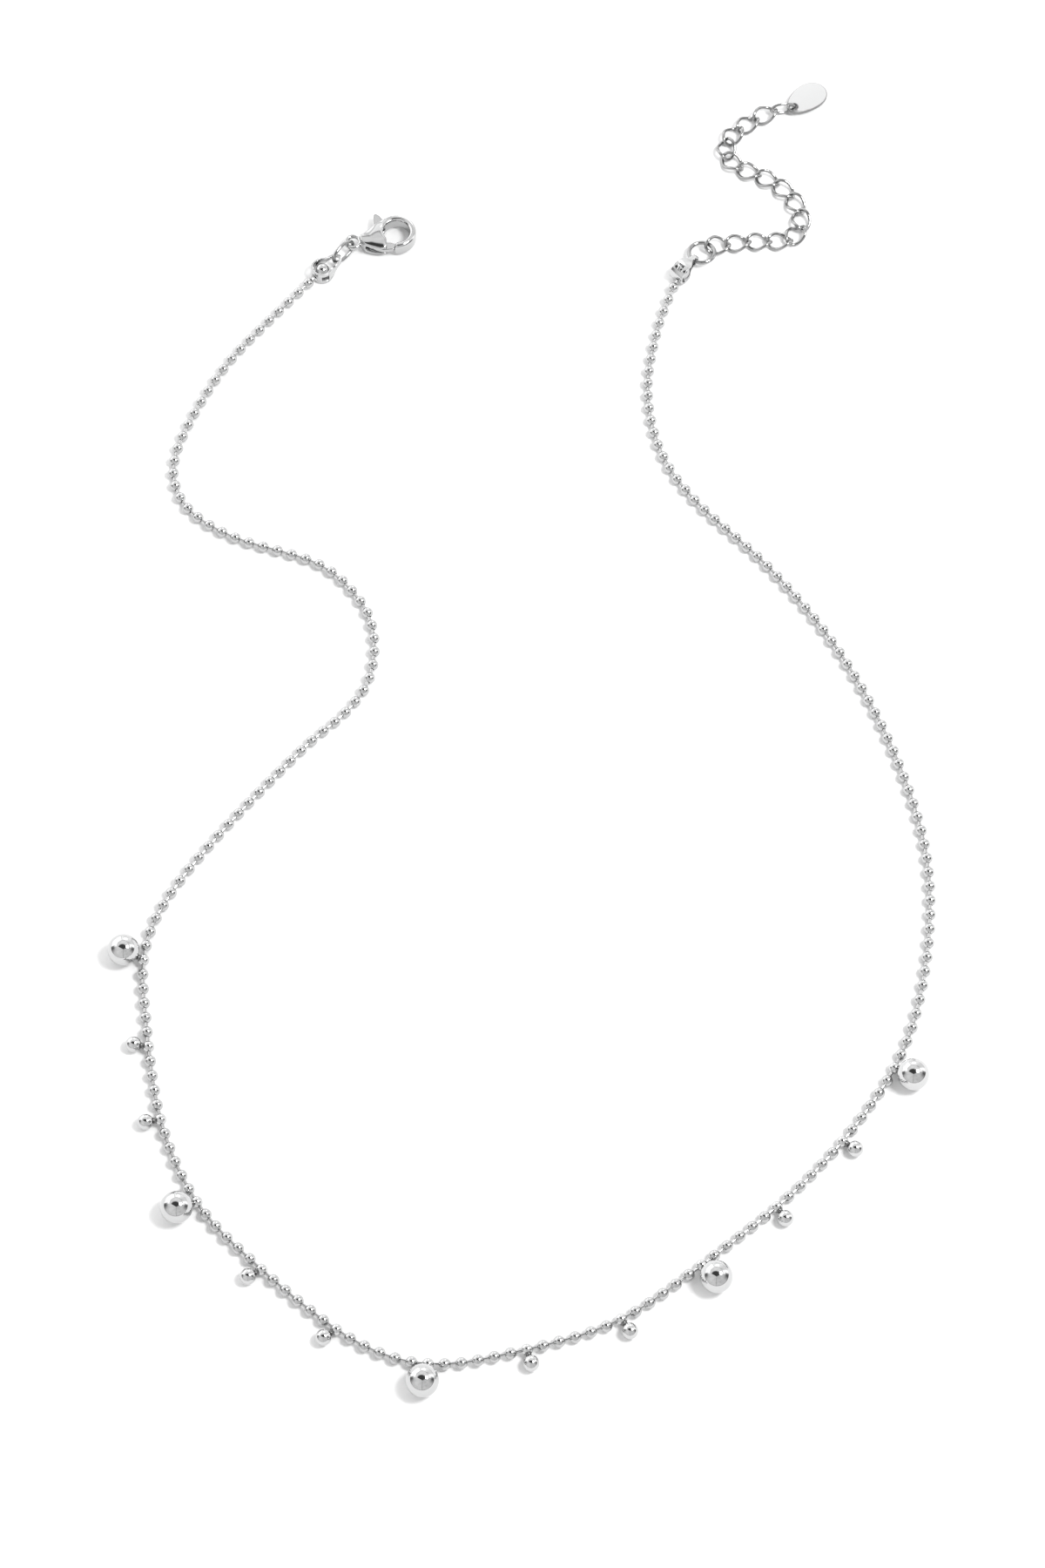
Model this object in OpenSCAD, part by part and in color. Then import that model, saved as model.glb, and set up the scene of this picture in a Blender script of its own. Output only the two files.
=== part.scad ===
// Ball chain necklace with round drops, lying open on a table: a row of small steel balls
// joined by short bars, two bent strap connectors, a lobster clasp at one end and a curb
// link extension with a plain tag at the other. Millimetres, +Z up.

/* [Ball chain] */
// Diameter of each chain ball
bead_d = 1.5; // [1.3:0.05:1.7]
// Distance from one ball to the next
bead_pitch = 2.0; // [1.9:0.05:2.4]
// Thickness of the bars between the balls
bar_d = 0.45; // [0.35:0.05:0.5]
// Room round a bar in the hole of a ball
bar_clearance = 0.12; // [0.1:0.01:0.15]

/* [Drops] */
// Diameter of a large drop
large_d = 4.0; // [3.4:0.1:4.4]
// Diameter of a small drop
small_d = 2.0; // [1.7:0.1:2.4]
// Thickness of the soldered stem behind a drop
stem_d = 0.7; // [0.5:0.05:0.8]
// Bare length of that stem
stem_gap = 0.15; // [0.1:0.05:0.5]
// Chain balls before the first drop
first_drop = 66; // [55:1:70]

/* [End connectors] */
// Diameter of the ball that each connector holds
end_ball_d = 2.1; // [1.8:0.1:2.3]
// Bare bar between the last chain ball and the strap
end_bar = 0.5; // [0.4:0.1:1]
// Thickness of the bent strap
strap_t = 0.28; // [0.2:0.02:0.32]
// Width of the strap round the ball
strap_w = 2.0; // [1.6:0.1:2.2]
// Width of the strap at its tip
tongue_w = 0.65; // [0.5:0.05:0.7]
// Outer radius of the strap at its tip
tip_r = 0.85; // [0.81:0.02:0.93]
// Distance from the held ball to the tip's bend
tip_run = 2.6; // [2.4:0.1:3]
// Room between the held ball and the strap
seat_gap = 0.15; // [0.1:0.05:0.2]

/* [Clasp] */
// Length of the oval ring that holds the clasp
oval_l = 4.3; // [4.1:0.1:4.6]
// Width of that oval ring
oval_w = 2.4; // [2.3:0.1:2.6]
// Wire of that oval ring
oval_wire = 0.5; // [0.4:0.05:0.5]
// Radius of the clasp's eye to the middle of its wire
eye_r = 0.98; // [0.95:0.01:1.1]
// Wire of the clasp's eye
eye_wire = 0.64; // [0.55:0.01:0.66]
// Thickness of the clasp
clasp_t = 2.4; // [2.2:0.1:2.8]
// Distance from the eye to the middle of the hook's opening
hook_run = 6.1; // [5.9:0.1:6.6]
// Outer radius of the hook
hook_r = 2.8; // [2.7:0.05:2.9]
// Width of the hook's rim
hook_rim = 1.0; // [0.9:0.05:1.1]
// Thickness of the lever
lever_t = 0.66; // [0.5:0.02:0.7]
// Room between the lever and each side of its slot
lever_clearance = 0.08; // [0.06:0.01:0.1]
// Diameter of the rivet that the lever turns on
rivet_d = 0.8; // [0.6:0.05:0.9]
// Room round the rivet in the lever
rivet_clearance = 0.05; // [0.03:0.01:0.08]

/* [Extension chain] */
// Outer diameter of the round ring
ring_d = 4.1; // [3.9:0.1:4.6]
// Wire of the round ring
ring_wire = 0.6; // [0.5:0.05:0.6]
// Links in the extension chain
link_count = 15; // [8:1:15]
// Outer length of a link
link_l = 3.9; // [3.8:0.05:4.3]
// Outer width of a link
link_w = 2.9; // [2.8:0.05:3.1]
// Wire of a link
link_wire = 0.46; // [0.36:0.02:0.48]
// Room where two links cross
link_clearance = 0.08; // [0.06:0.01:0.1]

/* [Tag] */
// Outer length of the oval ring that holds the tag
tag_ring_l = 3.8; // [3.6:0.1:4.2]
// Outer width of that ring
tag_ring_w = 2.0; // [1.9:0.1:2.2]
// Wire of that ring
tag_ring_wire = 0.4; // [0.34:0.02:0.42]
// Length of the tag
tag_l = 7.0; // [6:0.1:8]
// Width of the tag
tag_w = 4.4; // [3.6:0.1:5]
// Thickness of the tag
tag_t = 0.45; // [0.35:0.05:0.5]
// Diameter of the tag's hole
tag_hole_d = 1.15; // [1.1:0.05:1.3]

/* [Hidden] */
steel = [0.78, 0.79, 0.80];

// Where the ball chain lies, from the clasp's end round the front to the extension
CHAIN_POINTS = [
    [-29.5, 78], [-35, 71.5], [-40, 65], [-44, 57.5], [-46.5, 50.5], [-46.5, 45.5], [-44, 41],
    [-38, 37], [-27, 33], [-21.5, 27.5], [-19.5, 22], [-20, 15.5], [-23, 10.5], [-28.5, 5],
    [-38.5, -7], [-45, -16.5], [-47.5, -24], [-47, -33], [-44.5, -47], [-39.5, -58],
    [-31.5, -66.5], [-22.5, -74], [-16, -77.5], [-10, -78.5], [-3, -77.5], [10.5, -73.5],
    [21.5, -66], [35.5, -54], [46, -40], [50.5, -26.5], [51.5, -11], [48, 4.5], [41.5, 19.5],
    [33, 32], [23, 43], [18.5, 51], [17, 60.5], [18.5, 70.5], [21.2, 78.4]
];
points_per_span = 24;

// Each drop: chain balls since the drop before, large or small, and how far it leans along
// the chain, in degrees
LARGE = 1;
SMALL = 0;
DROPS = [
    [0, LARGE, -15], [6, SMALL, -15], [5, SMALL, -3], [6, LARGE, -7], [6, SMALL, -16],
    [6, SMALL, -20], [6, LARGE, -10], [6, SMALL, 2], [6, SMALL, 5], [6, LARGE, 3],
    [6, SMALL, -9], [6, SMALL, 4], [6, LARGE, -5]
];

// Directions in degrees from +X, seen from above
left_heading = 46;
oval_heading = 50;
clasp_heading = 12;
right_bar_heading = 64;
right_heading = 51;
LINK_HEADINGS = [12, 8, 0, 4, 50, 93, 114, 133, 148, 157, 133, 86, 49, 35, 27];
tag_ring_heading = 12;
tag_heading = 43;

// How the pieces lean: rolled about their own length, or dipped at their far end
oval_roll = 66;
right_dip = 8;
ring_dip = 4;
ring_dip_heading = 110;
tag_ring_roll = 80;
tag_ring_dip = 5;
tag_dip = 5;

// The links' twist from end to end, and how the first and the last link are held up by the
// rings in them: roll, dip and lift
link_twist = -90;
FIRST_LINK = [15, 10, 0.22];
LAST_LINK = [8, -6, 0.24];

// Facets: sections and sides of the bent wires, steps of the strap's round ends, full circles
wire_sides = 8;
oval_rings = 32;
oval_sides = 10;
link_rings = 16;
link_sides = 6;
tag_ring_rings = 24;
tag_ring_sides = 8;
end_steps = 36;
tip_steps = 16;
small_circle = 32;
ball_circle = 48;
large_circle = 64;
skim = 0.02;

function unit(v) = v / norm(v);
function turn(v, a) = [v.x * cos(a) - v.y * sin(a), v.x * sin(a) + v.y * cos(a)];
function heading(a) = [cos(a), sin(a), 0];
function flat(p) = [p.x, p.y];

// A smooth curve through a list of points
function curve_at(a, b, c, d, t) =
    0.5 * (2 * b + (c - a) * t + (2 * a - 5 * b + 4 * c - d) * t * t + (3 * b - a - 3 * c + d) * t * t * t);
function smooth_line(p) = let (
    last = len(p) - 1,
    q = concat([2 * p[0] - p[1]], p, [2 * p[last] - p[last - 1]])
) concat(
    [for (i = [0:last - 1], k = [0:points_per_span - 1])
        curve_at(q[i], q[i + 1], q[i + 2], q[i + 3], k / points_per_span)],
    [p[last]]
);

// Steps of equal length along that curve
function first_beyond(line, from, step, j) =
    j >= len(line) ? undef : norm(line[j] - from) >= step ? j : first_beyond(line, from, step, j + 1);
function on_span(a, b, from, step) = let (
    d = b - a,
    e = a - from,
    half = d * e,
    square = d * d
) a + d * (sqrt(half * half - square * (e * e - step * step)) - half) / square;
function stations(line, step, done, j) = let (
    from = done[len(done) - 1],
    k = first_beyond(line, from, step, j)
) k == undef ? done : stations(line, step, concat(done, [on_span(line[k - 1], line[k], from, step)]), k);

// The ball chain rests on the table and rises a little into its connectors
route = smooth_line(CHAIN_POINTS);
bead_xy = stations(route, bead_pitch, [route[0]], 1);
bead_n = len(bead_xy);
seat_r = end_ball_d / 2 + seat_gap + strap_t;
left_z = max(end_ball_d, strap_w) / 2 + skim;
right_z = seat_r + skim;
rise_balls = 4;
rise_share = 0.45;
function rise(k, top) =
    k >= rise_balls ? 0 : rise_share * (top - bead_d / 2) * pow(1 - k / rise_balls, 2);
bead = [for (k = [0:bead_n - 1]) [
    bead_xy[k].x, bead_xy[k].y,
    bead_d / 2 + rise(k, left_z) + rise(bead_n - 1 - k, right_z)
]];
end_step = bead_d / 2 + end_bar + seat_r;
left_ball = [bead[0].x, bead[0].y, left_z] + end_step * heading(left_heading);
right_ball = [bead[bead_n - 1].x, bead[bead_n - 1].y, right_z] + end_step * heading(right_bar_heading);
wire_line = concat([left_ball], bead, [right_ball]);
function bead_way(k) = unit(wire_line[k + 2] - wire_line[k]);
bore_d = bar_d + 2 * bar_clearance;

// The drops hang on the outer side of the curve
function drop_bead(i) = i == 0 ? round(first_drop) : drop_bead(i - 1) + DROPS[i][0];
drop_beads = [for (i = [0:len(DROPS) - 1]) drop_bead(i)];
function drop_r(i) = (DROPS[i][1] == LARGE ? large_d : small_d) / 2;
function drop_reach(i) = bead_d / 2 + stem_gap + drop_r(i);
stem_sink = 0.2;
function drop_out(i) = let (way = unit(flat(bead_way(drop_beads[i])))) turn(way, DROPS[i][2] - 90);
function drop_ball(i) = let (
    b = bead[drop_beads[i]],
    up = drop_r(i) - b.z,
    out = sqrt(pow(drop_reach(i), 2) - up * up) * drop_out(i)
) [b.x + out.x, b.y + out.y, drop_r(i)];
function drop_list(kind) = [for (i = [0:len(DROPS) - 1]) if (DROPS[i][1] == kind) i];
large_drops = drop_list(LARGE);
small_drops = drop_list(SMALL);

// The clasp's end: strap tip, oval ring, eye
left_way = heading(left_heading);
oval_slack = 0.25;
oval_hold = tip_run - oval_slack;
oval_start = left_ball + oval_hold * left_way;
oval_end = oval_start + (oval_l - oval_wire) * heading(oval_heading);
eye_hold = eye_r - eye_wire / 2 - oval_wire / 2 - oval_slack;
clasp_z = clasp_t / 2;
eye_at = [oval_end.x, oval_end.y, clasp_z] + eye_hold * heading(oval_heading);
oval_mid = [(oval_start.x + oval_end.x) / 2, (oval_start.y + oval_end.y) / 2, (left_z + clasp_z) / 2];
oval_rise = asin((clasp_z - left_z) / (oval_l - oval_wire));

// The clasp in its own frame, with the eye at 0, 0. Points in tables are shares of the hook's
// distance along X and of its radius along Y
CHEEK = [
    [0.16, -0.21], [0.23, -0.5], [0.34, -0.68], [0.49, -0.82], [0.64, -0.89], [0.705, -0.84],
    [0.73, -0.68], [0.738, -0.36], [0.98, 0], [0.98, 0.98], [0.85, 0.93], [0.72, 0.84],
    [0.54, 0.68], [0.39, 0.41], [0.25, 0.2], [0.16, 0.13]
];
GATE = [
    [0.33, -0.46], [0.475, -0.7], [0.62, -0.86], [0.75, -0.89], [0.93, -0.93], [0.98, -0.62],
    [0.85, -0.46], [0.7, -0.39], [0.49, -0.11], [0.36, -0.07]
];
TAB = [
    [0.3, -0.18], [0.54, -0.25], [0.78, 0.79], [0.77, 1.05], [0.73, 1.25], [0.67, 1.39],
    [0.615, 1.41], [0.575, 1.32], [0.55, 1.07], [0.525, 0.79]
];
SLOT = [[0.77, -2], [0.77, 0.39], [0.835, 0.82], [0.835, 2]];
function clasp_point(p) = [p.x * hook_run, p.y * hook_r];
function clasp_points(table) = [for (p = table) clasp_point(p)];
pivot = clasp_point([0.426, -0.214]);
mouth_corner = clasp_point([0.738, -0.39]);
gate_reach = 0.541 * hook_run;
gate_gap = 0.08;
rivet_fit = 0.02;
rivet_sink = 0.12;
hub_rim = 0.45;
neck = 0.25;
slot_from = eye_r + eye_wire / 2 + neck;
slot_t = lever_t + 2 * lever_clearance;
dome_r = 20;
hook_mid = [hook_run, 0];
hole_r = hook_r - hook_rim;
hook_from = -120;
hook_to = 112;
hook_chamfer = 0.3;
hook_recess = 0.15;
hook_half = clasp_t / 2 - hook_recess;

// The extension's end: strap tip, round ring, first link
right_way = cos(right_dip) * heading(right_heading) - [0, 0, sin(right_dip)];
ring_mid_r = (ring_d - ring_wire) / 2;
ring_slack = 0.12;
ring_hold = tip_run + tip_r - strap_t - ring_wire / 2 - ring_slack;
function ring_point(a) = let (
    b = a - ring_dip_heading,
    out = ring_mid_r * cos(b),
    flat_point = turn([out * cos(ring_dip), ring_mid_r * sin(b)], ring_dip_heading)
) [flat_point.x, flat_point.y, -out * sin(ring_dip)];
ring_mid = right_ball + ring_hold * right_way - ring_point(right_heading + 180);
ring_exit = 42;
first_grip = (ring_wire + link_wire) / 4 + 3 * link_clearance;
first_joint = flat(ring_mid + ring_point(ring_exit)) - first_grip * flat(heading(LINK_HEADINGS[0]));

// Each joint of two links, from how far their wires pass each other
function bend(i) = i == 0 || i == link_count ? 0 : abs(LINK_HEADINGS[i] - LINK_HEADINGS[i - 1]);
function hook_by(i) = (link_wire + link_clearance) / 2 * (2 - cos(bend(i)));
link_run = link_l - link_wire;
twist_share = 0.375;
link_z = twist_share * (link_w - link_wire) / 2 + link_wire / 2 + skim;
function link_way(i) = flat(heading(LINK_HEADINGS[i]));
function joint(i) = i == 0 ? first_joint
    : joint(i - 1) + (link_run - hook_by(i - 1) - hook_by(i)) * link_way(i - 1);
function link_pose(i) = i == 0 ? FIRST_LINK : i == link_count - 1 ? LAST_LINK : [0, 0, 0];
function link_mid(i) = let (mid = joint(i) + (link_run / 2 - hook_by(i)) * link_way(i))
    [mid.x, mid.y, link_z + link_pose(i)[2]];

// The tag's ring and the tag, whose hole is at 0, 0 in its own frame
tag_ring_run = tag_ring_l - tag_ring_wire;
tag_ring_grip = (link_wire + tag_ring_wire) / 4 + 6 * link_clearance;
tag_ring_z = tag_ring_w / 2 + skim;
tag_ring_way = heading(tag_ring_heading);
tag_ring_start = joint(link_count) + (link_wire + link_clearance) / 2 * link_way(link_count - 1)
    - tag_ring_grip * flat(tag_ring_way);
tag_ring_mid = [tag_ring_start.x, tag_ring_start.y, tag_ring_z] + tag_ring_run / 2 * tag_ring_way;
tag_ring_slack = 0.1;
tag_rim = 0.475;
tag_hole_from_end = tag_hole_d / 2 + tag_rim;
tag_reach = tag_l - tag_hole_from_end;
tag_hole = tag_ring_mid + (tag_ring_run / 2 - tag_ring_slack) * tag_ring_way;
tag_z = tag_t / 2 + tag_reach * sin(tag_dip) + skim;
tag_taper = 0.24;
tag_outline = [for (t = [0:7.5:352.5]) [
    tag_l / 2 * (1 + cos(t)) - tag_hole_from_end,
    tag_w / 2 * sin(t) * (1 + tag_taper * cos(t)) / (1 + tag_taper / 4)
]];
tag_top = max([for (p = tag_outline) turn([p.x * cos(tag_dip), p.y], tag_heading).y]);

// The middle of the whole necklace on the table
ball_boxes = concat(
    [for (b = bead) [b.x - bead_d / 2, b.x + bead_d / 2, b.y - bead_d / 2, b.y + bead_d / 2]],
    [for (i = [0:len(DROPS) - 1]) let (b = drop_ball(i), r = drop_r(i)) [b.x - r, b.x + r, b.y - r, b.y + r]]
);
middle = [
    min([for (b = ball_boxes) b[0]]) + max([for (b = ball_boxes) b[1]]),
    min([for (b = ball_boxes) b[2]]) + tag_hole.y + tag_top
] / 2;

module placed() {
    color(steel) translate([-middle.x, -middle.y, 0]) children();
}

// Turns +Z to a given direction
module toward(v) {
    rotate([0, acos(v.z / norm(v)), atan2(v.y, v.x)]) children();
}

// A ball drilled right through for the bar
module chain_ball(k) {
    translate(bead[k]) toward(bead_way(k)) difference() {
        sphere(d = bead_d, $fn = ball_circle);
        cylinder(d = bore_d, h = 2 * bead_d, center = true, $fn = small_circle);
    }
}

module ball_chain() {
    placed() for (k = [0:bead_n - 1]) {
        if (len(search(k, drop_beads)) == 0) chain_ball(k);
    }
}

// A wire of even thickness along a list of points
function wire_ring(p, way, r, sides) = let (
    up = unit([0, 0, 1] - way.z * way),
    side = cross(way, up)
) [for (s = [0:sides - 1]) p + r * (cos(360 * s / sides) * side + sin(360 * s / sides) * up)];
function band(i, j, sides) = [
    for (s = [0:sides - 1], half = [0, 1]) let (t = (s + 1) % sides)
        half == 0 ? [i * sides + t, j * sides + s, i * sides + s]
        : [j * sides + t, j * sides + s, i * sides + t]
];

module chain_wire() {
    n = len(wire_line);
    rings = [for (k = [0:n - 1]) let (
        a = wire_line[max(k - 1, 0)],
        b = wire_line[min(k + 1, n - 1)]
    ) each wire_ring(wire_line[k], unit(b - a), bar_d / 2, wire_sides)];
    walls = [for (k = [0:n - 2]) each band(k, k + 1, wire_sides)];
    caps = [
        [for (s = [wire_sides - 1:-1:0]) s],
        [for (s = [0:wire_sides - 1]) (n - 1) * wire_sides + s]
    ];
    placed() polyhedron(points = rings, faces = concat(walls, caps));
}

// A drop and the chain ball that it is soldered to are one piece
module drop(i) {
    b = bead[drop_beads[i]];
    reach = drop_reach(i);
    placed() {
        chain_ball(drop_beads[i]);
        translate(b) toward(drop_ball(i) - b) {
            translate([0, 0, reach]) sphere(r = drop_r(i), $fn = large_circle);
            translate([0, 0, bead_d / 2 - stem_sink])
                cylinder(d = stem_d, h = reach - bead_d / 2, $fn = small_circle);
        }
    }
}

// A round end, a smaller round tip and the two straight legs that touch both
module teardrop(big, small, run) {
    legs = acos((big - small) / run);
    polygon(concat(
        [for (k = [0:end_steps]) let (t = legs + (360 - 2 * legs) * k / end_steps) big * [cos(t), sin(t)]],
        [for (k = [0:tip_steps]) let (t = (2 * k / tip_steps - 1) * legs) [run, 0] + small * [cos(t), sin(t)]]
    ));
}

// A strap bent round the end ball: a window in each side and a narrow tip
module connector() {
    reach = tip_run + 2 * tip_r;
    taper_from = 0.2 * tip_run;
    taper_to = 0.8 * tip_run;
    taper_steps = 8;
    window_l = 0.36 * tip_run;
    window_w = 0.42 * strap_w;
    window_x = -0.22 * tip_run;
    side = [for (k = [0:taper_steps]) let (t = k / taper_steps) [
        taper_from + t * (taper_to - taper_from),
        tongue_w / 2 + (strap_w - tongue_w) / 4 * (1 + cos(180 * t))
    ]];
    difference() {
        intersection() {
            linear_extrude(strap_w, center = true) difference() {
                teardrop(seat_r, tip_r, tip_run);
                teardrop(seat_r - strap_t, tip_r - strap_t, tip_run);
            }
            rotate([90, 0, 0]) linear_extrude(4 * seat_r, center = true) polygon(concat(
                [[-reach, strap_w / 2]], side, [[reach, tongue_w / 2], [reach, -tongue_w / 2]],
                [for (k = [taper_steps:-1:0]) [side[k].x, -side[k].y]], [[-reach, -strap_w / 2]]
            ));
        }
        translate([window_x, 0, 0]) cube([window_l, 4 * seat_r, window_w], center = true);
    }
}

// The hole that lets the last bar through the round end
module strap_hole(ball, way) {
    translate(ball) toward(way) cylinder(d = bore_d + seat_gap, h = 2 * seat_r, $fn = small_circle);
}

module connector_left() {
    placed() difference() {
        translate(left_ball) rotate([0, 0, left_heading]) connector();
        strap_hole(left_ball, bead[0] - left_ball);
    }
}

module connector_right() {
    placed() difference() {
        translate(right_ball) rotate([0, right_dip, right_heading]) rotate([90, 0, 0]) connector();
        strap_hole(right_ball, bead[bead_n - 1] - right_ball);
    }
}

// The held ball, drilled to just past its middle for the end of the wire
module end_ball(at, way) {
    past_middle = 0.2;
    placed() translate(at) toward(way) difference() {
        sphere(d = end_ball_d, $fn = large_circle);
        translate([0, 0, -end_ball_d]) cylinder(d = bore_d, h = end_ball_d + past_middle, $fn = small_circle);
    }
}

module end_ball_left() {
    end_ball(left_ball, left_ball - bead[0]);
}

module end_ball_right() {
    end_ball(right_ball, right_ball - bead[bead_n - 1]);
}

// A closed wire loop: an oval, turned about its long axis from one end to the other
function loop_point(a, b, twist, t) = let (
    x = a * cos(t),
    y = b * sin(t),
    roll = twist * x / (2 * a)
) [x, y * cos(roll), y * sin(roll)];
function loop_normal(a, twist, t) = let (roll = twist * cos(t) / 2) [0, -sin(roll), cos(roll)];
function loop_ring(a, b, twist, r, t, sides) = let (
    ahead = loop_point(a, b, twist, t + 1),
    behind = loop_point(a, b, twist, t - 1),
    way = unit(ahead - behind),
    n = loop_normal(a, twist, t),
    up = unit(n - (n * way) * way),
    side = cross(way, up),
    p = loop_point(a, b, twist, t)
) [for (s = [0:sides - 1]) p + r * (cos(360 * s / sides) * side + sin(360 * s / sides) * up)];

module wire_loop(length, width, wire, twist, rings, sides) {
    a = (length - wire) / 2;
    b = (width - wire) / 2;
    points = [for (k = [0:rings - 1]) each loop_ring(a, b, twist, wire / 2, 360 * k / rings, sides)];
    polyhedron(points = points, faces = [for (k = [0:rings - 1]) each band(k, (k + 1) % rings, sides)]);
}

module clasp_ring() {
    placed() translate(oval_mid) rotate([0, -oval_rise, oval_heading]) rotate([oval_roll, 0, 0])
        wire_loop(oval_l, oval_w, oval_wire, 0, oval_rings, oval_sides);
}

module in_clasp() {
    placed() translate(eye_at) rotate([0, 0, clasp_heading]) children();
}

// The two cheeks reach from the eye to the edge of the hook's opening
module cheeks() {
    intersection() {
        linear_extrude(clasp_t, center = true) difference() {
            polygon(clasp_points(CHEEK));
            translate(hook_mid) circle(r = hole_r, $fn = large_circle);
        }
        translate([hook_run / 2, 0, clasp_t / 2 - dome_r]) sphere(r = dome_r, $fn = 2 * large_circle);
        translate([hook_run / 2, 0, dome_r - clasp_t / 2]) sphere(r = dome_r, $fn = 2 * large_circle);
    }
}

// Slot between the cheeks: behind the gate it runs out into the hook's opening
module lever_slot() {
    linear_extrude(slot_t, center = true)
        polygon(concat([[slot_from, -2 * hook_r]], clasp_points(SLOT), [[slot_from, 2 * hook_r]]));
}

module hook() {
    profile = [
        [hole_r, -hook_half + hook_chamfer], [hole_r + hook_chamfer, -hook_half],
        [hook_r - hook_chamfer, -hook_half], [hook_r, -hook_half + hook_chamfer],
        [hook_r, hook_half - hook_chamfer], [hook_r - hook_chamfer, hook_half],
        [hole_r + hook_chamfer, hook_half], [hole_r, hook_half - hook_chamfer]
    ];
    translate(hook_mid) rotate([0, 0, hook_from])
        rotate_extrude(angle = hook_to - hook_from, $fn = large_circle) polygon(profile);
}

// The hook's tip and the gate's end follow one circle round the rivet, a little apart
module mouth() {
    mouth_r = gate_reach + gate_gap;
    intersection() {
        translate([pivot.x, pivot.y, 0])
            cylinder(r = mouth_r, h = 2 * clasp_t, center = true, $fn = large_circle);
        translate([mouth_corner.x, mouth_corner.y - 2 * hook_r, -2 * clasp_t])
            cube([2 * hook_r, 2 * hook_r, 4 * clasp_t]);
    }
}

module rivet_hole(clearance) {
    translate([pivot.x, pivot.y, 0])
        cylinder(d = rivet_d + 2 * clearance, h = 2 * clasp_t, center = true, $fn = small_circle);
}

module clasp_body() {
    in_clasp() difference() {
        union() {
            rotate_extrude($fn = large_circle) translate([eye_r, 0]) circle(d = eye_wire, $fn = small_circle);
            cheeks();
            hook();
        }
        lever_slot();
        mouth();
        rivet_hole(rivet_fit);
    }
}

module clasp_rivet() {
    in_clasp() translate([pivot.x, pivot.y, 0])
        cylinder(d = rivet_d, h = clasp_t - 2 * rivet_sink, center = true, $fn = small_circle);
}

// Lever: a gate that ends at the hook's tip, a hub on the rivet, and a thumb tab
module clasp_lever() {
    in_clasp() difference() {
        linear_extrude(lever_t, center = true) {
            intersection() {
                translate(pivot) circle(r = gate_reach, $fn = large_circle);
                polygon(clasp_points(GATE));
            }
            translate(pivot) circle(r = rivet_d / 2 + hub_rim, $fn = large_circle);
            polygon(clasp_points(TAB));
        }
        rivet_hole(rivet_clearance);
    }
}

module extension_ring() {
    placed() translate(ring_mid) rotate([0, ring_dip, ring_dip_heading])
        rotate_extrude($fn = large_circle) translate([ring_mid_r, 0])
            circle(d = ring_wire, $fn = small_circle);
}

module link(i) {
    pose = link_pose(i);
    placed() translate(link_mid(i)) rotate([0, pose[1], LINK_HEADINGS[i]]) rotate([pose[0], 0, 0])
        wire_loop(link_l, link_w, link_wire, link_twist, link_rings, link_sides);
}

module tag_ring() {
    placed() translate(tag_ring_mid) rotate([0, tag_ring_dip, tag_ring_heading])
        rotate([tag_ring_roll, 0, 0])
            wire_loop(tag_ring_l, tag_ring_w, tag_ring_wire, 0, tag_ring_rings, tag_ring_sides);
}

// A plain leaf of sheet, narrower at its hole
module tag() {
    placed() translate([tag_hole.x, tag_hole.y, tag_z]) rotate([0, tag_dip, tag_heading]) difference() {
        linear_extrude(tag_t, center = true) polygon(tag_outline);
        cylinder(d = tag_hole_d, h = 3 * tag_t, center = true, $fn = small_circle);
    }
}

ball_chain();
chain_wire();
for (i = [0:4]) drop(large_drops[i]);
for (i = [0:7]) drop(small_drops[i]);
connector_left();
end_ball_left();
clasp_ring();
clasp_body();
clasp_rivet();
clasp_lever();
connector_right();
end_ball_right();
extension_ring();
for (i = [0:link_count - 1]) link(i);
tag_ring();
tag();
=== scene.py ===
import math

import bmesh
import bpy
import numpy as np
from mathutils import Matrix, Vector


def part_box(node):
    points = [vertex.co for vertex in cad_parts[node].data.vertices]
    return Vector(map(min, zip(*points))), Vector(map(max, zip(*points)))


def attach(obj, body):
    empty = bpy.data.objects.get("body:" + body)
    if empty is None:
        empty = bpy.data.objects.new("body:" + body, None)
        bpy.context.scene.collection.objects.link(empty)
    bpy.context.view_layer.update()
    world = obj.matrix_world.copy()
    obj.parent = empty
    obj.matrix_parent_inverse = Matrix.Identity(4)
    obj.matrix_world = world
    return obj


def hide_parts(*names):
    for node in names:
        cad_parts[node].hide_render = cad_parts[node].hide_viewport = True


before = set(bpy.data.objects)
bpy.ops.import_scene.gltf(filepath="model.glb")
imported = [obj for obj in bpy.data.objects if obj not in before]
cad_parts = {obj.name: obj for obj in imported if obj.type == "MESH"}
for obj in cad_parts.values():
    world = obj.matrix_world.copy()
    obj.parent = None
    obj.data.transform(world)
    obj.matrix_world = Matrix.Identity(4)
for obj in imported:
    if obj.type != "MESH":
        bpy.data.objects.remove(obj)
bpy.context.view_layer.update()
MM = 0.001


# ---- Ball chain ----
# Small steel balls, tumbled bright and threaded on a thin wire, which shows as a short bar
# between each two. Each ball is bored through, and the edge of its hole is sharp.

CHAIN_BALL = 1.5 * MM
CHAIN_BORE = 0.53 * MM
CHAIN_BAR = 0.45 * MM
BALL_STEPS = 7
BALL_SIDES = 14
BAR_SIDES = 8

SAME_SPOT = 1e-6
ON_AXIS = 1e-9
SHARP_EDGE = math.radians(40)

SCRATCH_SIZE = 0.5 * MM
SCRATCH_ROUGHNESS = 0.12
SCRATCH_DEPTH = 0.01 * MM
# Painted shade: the extra roughness and the near-black tone where a mesh is marked for it
PAINTED_SHADE_ROUGHNESS = 0.2
PAINTED_SHADE_TONE = 0.1


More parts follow.
